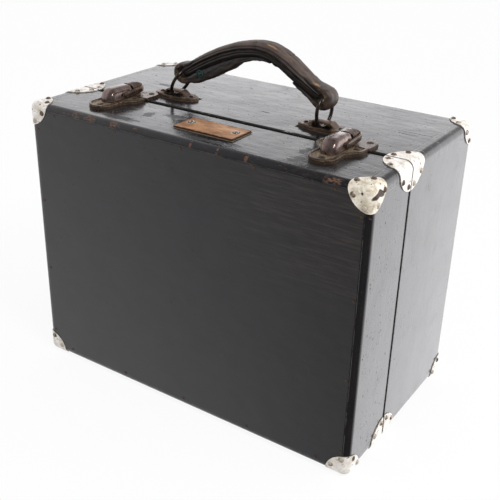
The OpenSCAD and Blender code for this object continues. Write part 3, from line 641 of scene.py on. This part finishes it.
# The grip's middle line, which follows the frame's grip with its crown about 1 mm higher. Each place has
# its X, its height over the top, its half width and its half thickness.
GRIP_ROUTE = [
    [-67, 24, 7.4, 4.6], [-57, 30, 7.4, 5.2], [-43, 38, 9.4, 6], [-22, 48.3, 10, 6.2], [0, 55.3, 10, 6.2],
    [20, 57, 10, 6.2], [36, 52, 10, 6.2], [52, 42, 9.4, 6], [66, 33, 7.4, 5.4], [77, 26, 7.4, 4.8],
]
GRIP_STEPS = 16
STRAP_HALF_T, STRAP_HALF_W = 1.45, 7.7
LEFT_EYE = (LEFT_RING_X + (RING_R - EYE_DROP) * math.sin(RING_LEAN),
            RING_Z + (RING_R - EYE_DROP) * math.cos(RING_LEAN))
RIGHT_EYE = (RIGHT_RING_X + 0.6, RING_Z + RING_R - 2.2)


def grip_radius(angle):
    """The reach of the grip's section at an angle in degrees, where 90 is its top, for half sizes of 1."""
    c, s = math.cos(math.radians(angle)), math.sin(math.radians(angle))
    power = 3.6 if s > 0 else 3.0
    base = (abs(c) ** power + abs(s) ** power) ** (-1 / power)
    side = min(abs(angle), abs(180 - angle), abs(360 - angle))
    upper = 1 if s > 0 else -1
    place = upper * side
    welt = 0.13 * hump(place, 17, 6.5)
    grooves = 0.09 * hump(place, 29, 4.0) + 0.12 * hump(place, 5, 4.0)
    ridge = 0.05 * hump(place, -5, 4.5)
    lower_groove = 0.07 * hump(place, -16, 3.5)
    seam = 0.10 * hump(angle, 270, 5.0)
    return base + welt - grooves + ridge - lower_groove - seam


def leather_piece(name, points, around, worn, raw, deep):
    """A closed tube of leather, with how worn and how rubbed through it is at each vertex, and how much
    painted shade lies there in its cracks and grooves.
    """
    piece = mesh_object(name, points, tube_faces(len(points) // around, around), "handle", leather)
    for label, values in (("worn", worn), ("raw", raw), ("deep", deep)):
        attribute = piece.data.attributes.new(label, "FLOAT", "POINT")
        attribute.data.foreach_set("value", values)
    return piece


def grip_body():
    """The stitched leather round the grip's core, with its welts, creases and cracks."""
    curve = smooth_route(GRIP_ROUTE, GRIP_STEPS)[4:-6]
    around = 112
    last = len(curve) - 1
    points, worn, raw, deep = [], [], [], []
    length = 0.0
    for i, (x, z, half_w, half_t) in enumerate(curve):
        a, b = curve[max(i - 1, 0)], curve[min(i + 1, last)]
        turn = math.atan2(b[1] - a[1], b[0] - a[0])
        if i:
            length += math.dist(curve[i][:2], curve[i - 1][:2])
        close = min(soft_step(i, -1, 9), soft_step(last - i, -1, 9))
        close = 0.80 + 0.20 * close
        for k in range(around):
            angle = 360 * k / around
            reach = grip_radius(angle) * close
            w = half_w * 0.98 * reach * math.cos(math.radians(angle))
            t = half_t * 1.10 * reach * math.sin(math.radians(angle))
            top = soft_step(math.sin(math.radians(angle)), 0.25, 0.6)
            place = Vector((length, w, t))
            creases = noise.noise(Vector((length / 26, w / 1.25, 3))) * 0.30 * top
            wrinkle = noise.noise(place / 3.0) * 0.20 + noise.noise(place / 9.0 + Vector((7, 2, 5))) * 0.35
            meander = 1.6 * noise.noise(Vector((w / 3, 5, 1)))
            crack = max(hump(x, 12.5 + meander, 0.5) * soft_step(-w, -6, 8),
                        hump(x, 39.5 - meander, 0.45) * soft_step(w, -5, 4),
                        hump(x, -38 + meander, 0.5) * 0.7) * top
            t += creases + wrinkle * 0.8 - 0.75 * crack
            w += wrinkle * 0.5
            under = soft_step(-math.sin(math.radians(angle)), 0.2, 0.7)
            t -= 1.3 * hump(x, 33.5, 2.6) * hump(w, -4, 4.5) * under
            points.append((x - t * math.sin(turn), HANDLE_Y + w, CASE_TOP + z + t * math.cos(turn)))
            patch = max(
                hump(x, 26.5, 6.5) * hump(w, -5.8, 1.5),
                1.3 * hump(x, 63.5, 3.4) * hump(w, -5.0, 1.5),
                0.62 * hump(x, 41, 7) * hump(w, -5.9, 0.8))
            patch = soft_step(patch + 0.5 * noise.noise(place / 1.7), 0.52, 0.72) * top
            thin_line = hump(angle if angle > 90 else 180 - angle, 178.5, 3.2) * soft_step(
                noise.noise(Vector((length / 7, 1, 9))) + 0.2, 0, 0.35) * 0.3
            worn.append(top * (1 - 0.9 * crack))
            raw.append(max(patch, thin_line * (0 if 90 < angle < 270 and w > 0 else 1)))
            # Painted shade in the cracks and in the grooves along the top, which the leather paints near
            # black
            deep.append(min(1.0, crack + 0.85 * hump(min(abs(angle), abs(180 - angle)), 29, 2.6)))
    piece = leather_piece("grip_leather", points, around, worn, raw, deep)
    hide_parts("handle_grip")


def depth_at(x, places):
    """The depth of a strap's outer face under the grip's middle, from its places: X, depth."""
    for (x0, a), (x1, b) in zip(places, places[1:]):
        if x <= x1:
            return a + (b - a) * soft_step(x, x0, x1)
    return places[-1][1]


def strap_path(side, eye, radius, flap_x, depths):
    """The strap's middle line, its half thickness there, and how many of the places are on its top.

    Side is -1 at the left and 1 at the right. The strap's lower end, the flap, reaches in to flap_x.
    """
    curve = [p for p in smooth_route(GRIP_ROUTE, GRIP_STEPS) if p[0] * side > flap_x]
    if side < 0:
        curve.reverse()
    top, bottom, bottom_halves = [], [], []
    for i, (x, z, _, half_t) in enumerate(curve):
        a, b = curve[max(i - 1, 0)], curve[min(i + 1, len(curve) - 1)]
        dx, dz = b[0] - a[0], b[1] - a[1]
        size = math.hypot(dx, dz)
        nx, nz = -dz / size * side, dx / size * side
        away = abs(x - eye[0])
        swell = soft_step(away, 14, 3)
        over = (half_t - 1.1) * (1 - swell) + radius * swell
        inner = (half_t - 1) * (1 - swell) + (radius - STRAP_HALF_T) * swell
        outer = max(depth_at(x, depths), inner + 2 * STRAP_HALF_T)
        if 4 < away < 21:
            top.append((x + nx * over, z + nz * over))
        if away > 4:
            bottom.append((x - nx * (outer + inner) / 2, z - nz * (outer + inner) / 2))
            bottom_halves.append((outer - inner) / 2)
    start = math.atan2(top[-1][1] - eye[1], top[-1][0] - eye[0])
    stop = math.atan2(bottom[-1][1] - eye[1], bottom[-1][0] - eye[0])
    if side > 0 and stop > start:
        stop -= 2 * math.pi
    if side < 0 and stop < start:
        stop += 2 * math.pi
    arc_steps = 26
    start_r, stop_r = math.dist(top[-1], eye), math.dist(bottom[-1], eye)
    arc, arc_halves = [], []
    for i in range(1, arc_steps):
        share = i / arc_steps
        angle = start + (stop - start) * share
        bulge = radius + (start_r - radius) * (1 - share) ** 3 + (stop_r - radius) * share ** 3
        # Thicker inwards round the eye, which closes it about the ring
        pad = (1.0 if side < 0 else 2.3) * math.sin(math.pi * share) ** 0.5
        bulge -= pad
        arc.append((eye[0] + bulge * math.cos(angle), eye[1] + bulge * math.sin(angle)))
        arc_halves.append(STRAP_HALF_T + pad + (bottom_halves[-1] - STRAP_HALF_T) * share ** 3)
    halves = [STRAP_HALF_T] * len(top) + arc_halves + bottom_halves[::-1]
    return top + arc + bottom[::-1], halves, len(top)


def eye_strap(name, side, eye, radius, flap_x, depths, patch, seed):
    """The end of the leather, folded over a ring and back under the grip."""
    path, halves, top_count = strap_path(side, eye, radius, flap_x, depths)
    around = 48
    points, worn, raw, deep = [], [], [], []
    length = 0.0
    last = len(path) - 1
    for i, (x, z) in enumerate(path):
        a, b = path[max(i - 1, 0)], path[min(i + 1, last)]
        turn = math.atan2(b[1] - a[1], b[0] - a[0])
        if i:
            length += math.dist(path[i], path[i - 1])
        ends = 0.35 + 0.65 * min(soft_step(i, -1, 7), soft_step(last - i, -1, 5))
        round_eye = soft_step(math.dist((x, z), eye), radius + 5, radius + 1.5)
        for k in range(around):
            angle = 2 * math.pi * k / around
            c, s = math.cos(angle), math.sin(angle)
            reach = (abs(c) ** 5 + abs(s) ** 5) ** (-1 / 5)
            w = STRAP_HALF_W * reach * c
            t = halves[i] * reach * s * ends
            wrinkle = noise.noise(Vector((length / 3 + seed, w / 3, t)))
            t += wrinkle * 0.32 + 0.35 * round_eye * (1 - (w / STRAP_HALF_W) ** 2) * side
            w += noise.noise(Vector((length / 4, seed, t / 2))) * 0.45
            points.append((x - t * math.sin(turn), HANDLE_Y + w, CASE_TOP + z + t * math.cos(turn)))
            outer = soft_step(s * side, -0.2, 0.5)
            edge = soft_step(abs(c), 0.86, 0.97)
            speck = noise.noise(Vector((length / 1.8, w / 2, seed))) * 0.8
            rubbed = 0.6 * round_eye * max(0.4 * edge, 0.8 * (1 - outer)) * soft_step(speck, -0.15, 0.25)
            if patch and i < top_count + 4:
                bald = hump(x, patch[0], patch[1]) * hump(w, -4.6, 2.2)
                bald += 0.5 * noise.noise(Vector((x, w, seed)) / 1.7)
                rubbed = max(rubbed, soft_step(bald, 0.45, 0.62))
            raw.append(rubbed)
            worn.append(0.30 * outer + 0.40 * round_eye * outer)
            deep.append(0.0)
    leather_piece(name, points, around, worn, raw, deep)


def verdigris_rivet():
    """A copper rivet and its washer, gone green, through the left flap."""
    middle = Vector((-45, HANDLE_Y - 8.0, CASE_TOP + 28.0))
    towards_front = Vector((0, -1, 0))
    washer = [(2.3, -0.6), (2.3, 0.2), (2.6, 0.55), (3.1, 0.55), (3.5, 0.1), (3.5, -0.6)]
    head = [(1.9, -0.6), (1.9, 0.3), (1.5, 0.75), (0.8, 1.0), (0.15, 1.05)]
    for name, profile in (("flap_washer", washer), ("flap_rivet", head)):
        dome_rivet(name, middle, towards_front, profile, "handle", verdigris)


def dome_rivet(name, centre, normal, profile, body, material):
    """A turned rivet head: profile is its radius and height from rim to middle."""
    normal = normal.normalized()
    axis_a = normal.cross(Vector((1, 0, 0))).normalized()
    axis_b = normal.cross(axis_a)
    around = 32
    points = []
    for radius, height in profile:
        for k in range(around):
            angle = 2 * math.pi * k / around
            across = math.cos(angle) * axis_a + math.sin(angle) * axis_b
            points.append(centre + normal * height + radius * across)
    piece = mesh_object(name, points, tube_faces(len(profile), around), body, material)


# Catches. Lengths are from the source, from each catch's middle, the seam and the top

CATCHES = {"left": -110.5, "right": 112.5}
LEVER_FRONT, LEVER_REAR, LEVER_LOW, LEVER_HALF_W, LEVER_SHEET = -32.3, -3.5, 2.8, 7.5, 1.1
NOSE_PLAN_R, NOSE_SIDE_R = 8.7, 10.7
PIVOT_Y, PIVOT_Z, HEEL_R = -8, 9, 6.1
RIVET_Y, RIVET_Z = -13, 6.2
LOOP_MIDDLE_R, LOOP_LENGTH, LOOP_HALF_H, LOOP_HALF_T = 8.9, 18.8, 2.8, 1.0
LOOP_TILT = math.radians(4)


def place_piece(points, catch):
    """A catch's own places in millimetres of the row frame."""
    return [(CATCHES[catch] + x, SEAM_Y + y, CASE_TOP + z) for x, y, z in points]


def lever_shell(catch):
    """The pressed cover of a catch: a round-nosed channel, open below."""
    depths = [0.05, 0.3, 0.8, 1.6, 2.6, 3.8, 5.2, 6.8, 8.6, 10.4, 12.5, 15, 18, 21, 24]
    depths += [24.6 + i * 0.6 for i in range(8)]
    across = 40
    points = []
    for depth in depths:
        y = LEVER_FRONT + depth
        plan = math.sqrt(max(0.0, NOSE_PLAN_R ** 2 - (NOSE_PLAN_R - min(depth, NOSE_PLAN_R)) ** 2))
        half_w = LEVER_HALF_W * (1 - (1 - plan / NOSE_PLAN_R) ** 1.25)
        rise = min(depth, NOSE_SIDE_R)
        top = math.sqrt(NOSE_SIDE_R ** 2 - (NOSE_SIDE_R - rise) ** 2) - 0.35 * soft_step(y, -14, LEVER_REAR)
        heel = max(0.0, y - PIVOT_Y)
        low = LEVER_LOW if heel == 0 else max(LEVER_LOW, PIVOT_Z - math.sqrt(HEEL_R ** 2 - heel ** 2))
        for k in range(across + 1):
            angle = math.pi * k / across
            c, s = math.cos(angle), math.sin(angle)
            reach = (abs(c) ** 3.2 + abs(s) ** 3.2) ** (-1 / 3.2)
            dent = 0.12 * noise.noise(Vector((y / 6, c * 2, CATCHES[catch])))
            points.append((half_w * reach * c, y, max(low, LEVER_LOW + (top + dent) * reach * s)))
    row = across + 1
    faces = [((i + 1) * row + k, (i + 1) * row + k + 1, i * row + k + 1, i * row + k)
             for i in range(len(depths) - 1) for k in range(across)]
    body = catch + "_catch_lever"
    piece = mesh_object(catch + "_lever_cover", place_piece(points, catch), faces, body, lever_metal)
    shell = piece.modifiers.new("sheet", "SOLIDIFY")
    shell.thickness = LEVER_SHEET * MM
    shell.offset = -1
    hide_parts(catch + "_lever")


def loop_bar(catch):
    """The thick bar of a catch, bent to a U round the hook."""
    route = []
    for i in range(7):
        route.append((-LOOP_MIDDLE_R, LOOP_HALF_H * (math.sin(math.pi / 2 * i / 6) - 1)))
    route += [(-LOOP_MIDDLE_R, LOOP_LENGTH * i / 8) for i in range(1, 9)]
    for i in range(1, 24):
        angle = math.pi * (1 - i / 24)
        route.append((LOOP_MIDDLE_R * math.cos(angle), LOOP_LENGTH + LOOP_MIDDLE_R * math.sin(angle)))
    route += [(-x, y) for x, y in reversed(route[:15])]
    around = 24
    last = len(route) - 1
    points = []
    for i, (x, y) in enumerate(route):
        a, b = route[max(i - 1, 0)], route[min(i + 1, last)]
        size = math.dist(a, b)
        nx, ny = (b[1] - a[1]) / size, -(b[0] - a[0]) / size
        tall = LOOP_HALF_H if y >= 0 else max(0.15, math.sqrt(max(0.0, LOOP_HALF_H ** 2 - y * y)))
        for k in range(around):
            angle = 2 * math.pi * k / around
            c, s = math.cos(angle), math.sin(angle)
            reach = (abs(c) ** 2.6 + abs(s) ** 2.6) ** (-1 / 2.6)
            across, up = LOOP_HALF_T * reach * c, tall * reach * s
            px, py = x + nx * across, y + ny * across
            points.append((px, RIVET_Y + py * math.cos(LOOP_TILT) - up * math.sin(LOOP_TILT),
                           RIVET_Z + py * math.sin(LOOP_TILT) + up * math.cos(LOOP_TILT)))
    piece = mesh_object(catch + "_loop_bar", place_piece(points, catch), tube_faces(last + 1, around),
                        catch + "_catch_loop", catch_smooth)
    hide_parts(catch + "_loop")


# Assigning materials to the CAD nodes

leather = old_leather("old_leather")
verdigris = rusty_iron("verdigris", 12, 1.0, srgb(32, 45, 43), srgb(52, 88, 82))
varnish_x = varnish("varnish_grain_across", "x", 3, 0.34, 0.05, 0.24)
varnish_z = varnish("varnish_grain_upright", "z", 41, 0.10, 0.08, 0.30)
varnish_panel = varnish("varnish_panel", "x", 77, 0.22, 0.004, 0.02, has_streaks=True)
patch_place = (CASE_HALF_W + 0.8, LID_FRONT + 8.5, CASE_TOP - 6.0)
cap_plain = cap_paint("cap_paint", 5, srgb(236, 232, 226), srgb(204, 197, 184))
cap_patched = cap_paint("cap_paint_patched", 8, srgb(229, 222, 206), srgb(186, 175, 152),
                        (patch_place, 3.9))
nail_rust = rusty_iron("nail_rust", 3, 0.9, srgb(84, 70, 60), srgb(124, 104, 88), 0.8)
pin_rust = rusty_iron("pin_rust", 6, 0.45)
# A hole in the lever covers that is only painted, as a disc of painted shade: Y, Z and radius
painted_hole_place = (SEAM_Y - 17, CASE_TOP + 7, 1.2)
lever_metal = patina("lever_metal", 5, srgb(98, 83, 79), srgb(140, 123, 117), 0.66, 0.23, 0.3,
                     painted_hole=painted_hole_place)
catch_smooth = patina("catch_smooth", 9, srgb(70, 58, 52), srgb(104, 88, 80), 0.60, 0.28, 0.8)
catch_plate = patina("catch_plate", 15, srgb(72, 60, 53), srgb(104, 88, 76), 0.58, 0.32, 1.1,
                     crusted=2.6)
handle_metal = patina("handle_metal", 19, srgb(80, 66, 58), srgb(118, 99, 86), 0.52, 0.40, 1.6,
                      crusted=0.3)
ring_dark = patina("ring_dark", 25, srgb(48, 42, 39), srgb(74, 65, 60), 0.64, 0.26)
screw_dark = patina("screw_dark", 35, srgb(58, 48, 42), srgb(92, 80, 70), 0.58, 0.34)
nail_bright = patina("nail_bright", 45, srgb(150, 142, 136), srgb(196, 190, 184), 0.70, 0.16)
hinge_steel = patina("hinge_steel", 55, srgb(112, 108, 104), srgb(142, 137, 132), 0.64, 0.3)
nail_places = [(x, SEAM_Y - 28) for x in (5.5 - 22.5, 5.5 + 22.5)]
copper = tarnished_copper("tarnished_copper", nail_places)


def look_for(node):
    """The material of a node of the frame."""
    if "_pins" in node and "panel" in node:
        return pin_rust
    if "cap_nails" in node or "foot_nails" in node:
        return nail_rust
    if "_cap_" in node:
        return cap_patched if node == "lid_corner_cap_top_right" else cap_plain
    if node.endswith("panel"):
        return varnish_panel
    if node.endswith("board"):
        return varnish_z if "left" in node or "right" in node else varnish_x
    if "strike" in node and "screws" not in node or node.endswith("_loop"):
        return catch_smooth
    if "catch_base" in node and "screws" not in node:
        return catch_plate
    if "handle_plate" in node and "nails" not in node:
        return handle_metal
    if "ring" in node and "hinge" not in node:
        return ring_dark
    if node == "name_plate":
        return copper
    if node == "name_plate_nails":
        return nail_bright
    if "hinge" in node:
        return hinge_steel
    return screw_dark


def dress_nodes():
    """Gives every CAD node its material."""
    for name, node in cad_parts.items():
        node.data.materials.clear()
        node.data.materials.append(look_for(name))


# Stage, light and camera

def studio_floor():
    """A white floor that takes shadows. The camera sees most of it as the white world."""
    material = bpy.data.materials.new("floor_white")
    material.use_nodes = True
    nodes, links = material.node_tree.nodes, material.node_tree.links
    nodes.clear()
    paths = nodes.new("ShaderNodeLightPath")
    facing = nodes.new("ShaderNodeNewGeometry")
    white = nodes.new("ShaderNodeBsdfDiffuse")
    white.inputs["Color"].default_value = (0.9, 0.9, 0.9, 1)
    clear = nodes.new("ShaderNodeBsdfTransparent")
    camera_share = 0.1
    share = nodes.new("ShaderNodeMath")
    share.operation = "MULTIPLY_ADD"
    share.inputs[1].default_value = camera_share - 1.0
    share.inputs[2].default_value = 1.0
    links.new(paths.outputs["Is Camera Ray"], share.inputs[0])
    solid = share.outputs[0]
    for output in (paths.outputs["Is Glossy Ray"], paths.outputs["Is Transmission Ray"],
                   facing.outputs["Backfacing"]):
        drop = nodes.new("ShaderNodeMath")
        drop.operation = "SUBTRACT"
        drop.use_clamp = True
        links.new(solid, drop.inputs[0])
        links.new(output, drop.inputs[1])
        solid = drop.outputs[0]
    mix = nodes.new("ShaderNodeMixShader")
    links.new(solid, mix.inputs[0])
    links.new(clear.outputs[0], mix.inputs[1])
    links.new(white.outputs[0], mix.inputs[2])
    output = nodes.new("ShaderNodeOutputMaterial")
    links.new(mix.outputs[0], output.inputs["Surface"])
    half = 3.0
    mesh = bpy.data.meshes.new("floor")
    corners = [(-half, -half, 0), (half, -half, 0), (half, half, 0), (-half, half, 0)]
    mesh.from_pydata(corners, [], [(0, 1, 2, 3)])
    floor = bpy.data.objects.new("floor", mesh)
    bpy.context.scene.collection.objects.link(floor)
    mesh.materials.append(material)


def studio_world():
    """A white room: plain for diffuse light, brighter behind and to the right in reflections."""
    world = bpy.data.worlds.new("studio")
    bpy.context.scene.world = world
    world.use_nodes = True
    nodes, links = world.node_tree.nodes, world.node_tree.links
    nodes.clear()
    paths = nodes.new("ShaderNodeLightPath")
    direction = nodes.new("ShaderNodeTexCoord").outputs["Generated"]

    def towards(axis, low, high, least, most):
        """From least to most as the direction turns to the axis, between two cosines."""
        dot = nodes.new("ShaderNodeVectorMath")
        dot.operation = "DOT_PRODUCT"
        dot.inputs[1].default_value = Vector(axis).normalized()
        links.new(direction, dot.inputs[0])
        span = nodes.new("ShaderNodeMapRange")
        span.interpolation_type = "SMOOTHSTEP"
        for label, value in (("From Min", low), ("From Max", high), ("To Min", least), ("To Max", most)):
            span.inputs[label].default_value = value
        links.new(dot.outputs["Value"], span.inputs["Value"])
        return span.outputs[0]

    def feed(value, socket):
        if isinstance(value, float):
            socket.default_value = value
        else:
            links.new(value, socket)

    def choose(switch, off, on):
        node = nodes.new("ShaderNodeMix")
        feed(switch, node.inputs[0])
        feed(off, node.inputs[2])
        feed(on, node.inputs[3])
        return node.outputs[0]

    def combine(operation, a, b):
        node = nodes.new("ShaderNodeMath")
        node.operation = operation
        feed(a, node.inputs[0])
        feed(b, node.inputs[1])
        return node.outputs[0]

    # Diffuse light, a little more of it from above and from the right
    plain = towards((0.8, 0.1, 0.5), -0.6, 1.0, 0.45, 1.20)
    # What the varnish and the metal mirror: a bright backdrop, the floor at the front left, the left wall
    backdrop = combine("MULTIPLY", towards((0.21, 0.98, 0), 0.2, 0.95, 0.0, 2.42),
                       towards((0, 0, 1), 0.24, 0.46, 1.0, 0.25))
    near_floor = towards((-0.8, -0.2, -0.55), 0.52, 0.95, 0.08, 1.15)
    left_wall = combine("MULTIPLY", towards((-1, 0, 0), 0.3, 0.8, 0.0, 1.0),
                        towards((0, 0, 1), -0.1, 0.3, 0.0, 1.0))
    gloss = combine("ADD", combine("ADD", backdrop, near_floor), left_wall)
    strength = choose(paths.outputs["Is Glossy Ray"], plain, gloss)
    strength = choose(paths.outputs["Is Camera Ray"], strength, 1.0)
    tone = nodes.new("ShaderNodeMix")
    tone.data_type = "RGBA"
    tone.inputs[6].default_value = (1.0, 0.99, 1.01, 1)
    tone.inputs[7].default_value = (1, 1, 1, 1)
    links.new(paths.outputs["Is Camera Ray"], tone.inputs[0])
    background = nodes.new("ShaderNodeBackground")
    links.new(tone.outputs[2], background.inputs["Color"])
    links.new(strength, background.inputs["Strength"])
    output = nodes.new("ShaderNodeOutputWorld")
    links.new(background.outputs[0], output.inputs["Surface"])


def key_lamp():
    """A soft lamp in front, above and to the right."""
    data = bpy.data.lights.new("key", "AREA")
    data.shape = "DISK"
    data.size = 0.35
    data.energy = 7
    lamp = bpy.data.objects.new("key", data)
    bpy.context.scene.collection.objects.link(lamp)
    place, target = Vector((0.85, -0.35, 1.15)), Vector((0, 0, 0.2))
    lamp.location = place
    lamp.rotation_euler = (target - place).to_track_quat("-Z", "Y").to_euler()


def photo_camera():
    """The camera of the photograph, fitted to the straight edges of the case."""
    place = Vector((390.73, -592.56, 474.71)) * MM
    target = Vector((6.56, 0.03, 129.86)) * MM
    roll = -0.0279
    focal_px, centre_x, centre_y, image_px = 832.37, 251.167, 246.097, 500
    forward = (target - place).normalized()
    right = forward.cross(Vector((0, 0, 1))).normalized()
    down = forward.cross(right)
    c, s = math.cos(roll), math.sin(roll)
    rolled_right = c * right + s * down
    rolled_down = c * down - s * right
    data = bpy.data.cameras.new("photo_camera")
    data.sensor_width = 36
    data.lens = focal_px / image_px * data.sensor_width
    data.shift_x = (image_px / 2 - centre_x) / image_px
    data.shift_y = (centre_y - image_px / 2) / image_px
    camera = bpy.data.objects.new("photo_camera", data)
    bpy.context.scene.collection.objects.link(camera)
    turn = Matrix((rolled_right, -rolled_down, -forward)).transposed()
    camera.matrix_world = Matrix.Translation(place) @ turn.to_4x4()
    bpy.context.scene.camera = camera


photo_camera()
studio_floor()
studio_world()
key_lamp()
dress_nodes()
grip_body()
eye_strap("right_eye_leather", 1, RIGHT_EYE, 6.8, 52, [(0, 0), (90, 0)], (70.5, 4.5), 2.0)
eye_strap("left_eye_leather", -1, LEFT_EYE, 6.3, -30,
          [(-66, 9), (-54, 14.5), (-40, 15.8), (-24, 15), (-6, 10.8), (12, 9), (30, 7.6)], None, 5.0)
verdigris_rivet()
for side in CATCHES:
    lever_shell(side)
    loop_bar(side)

bpy.context.scene.view_settings.view_transform = "Standard"
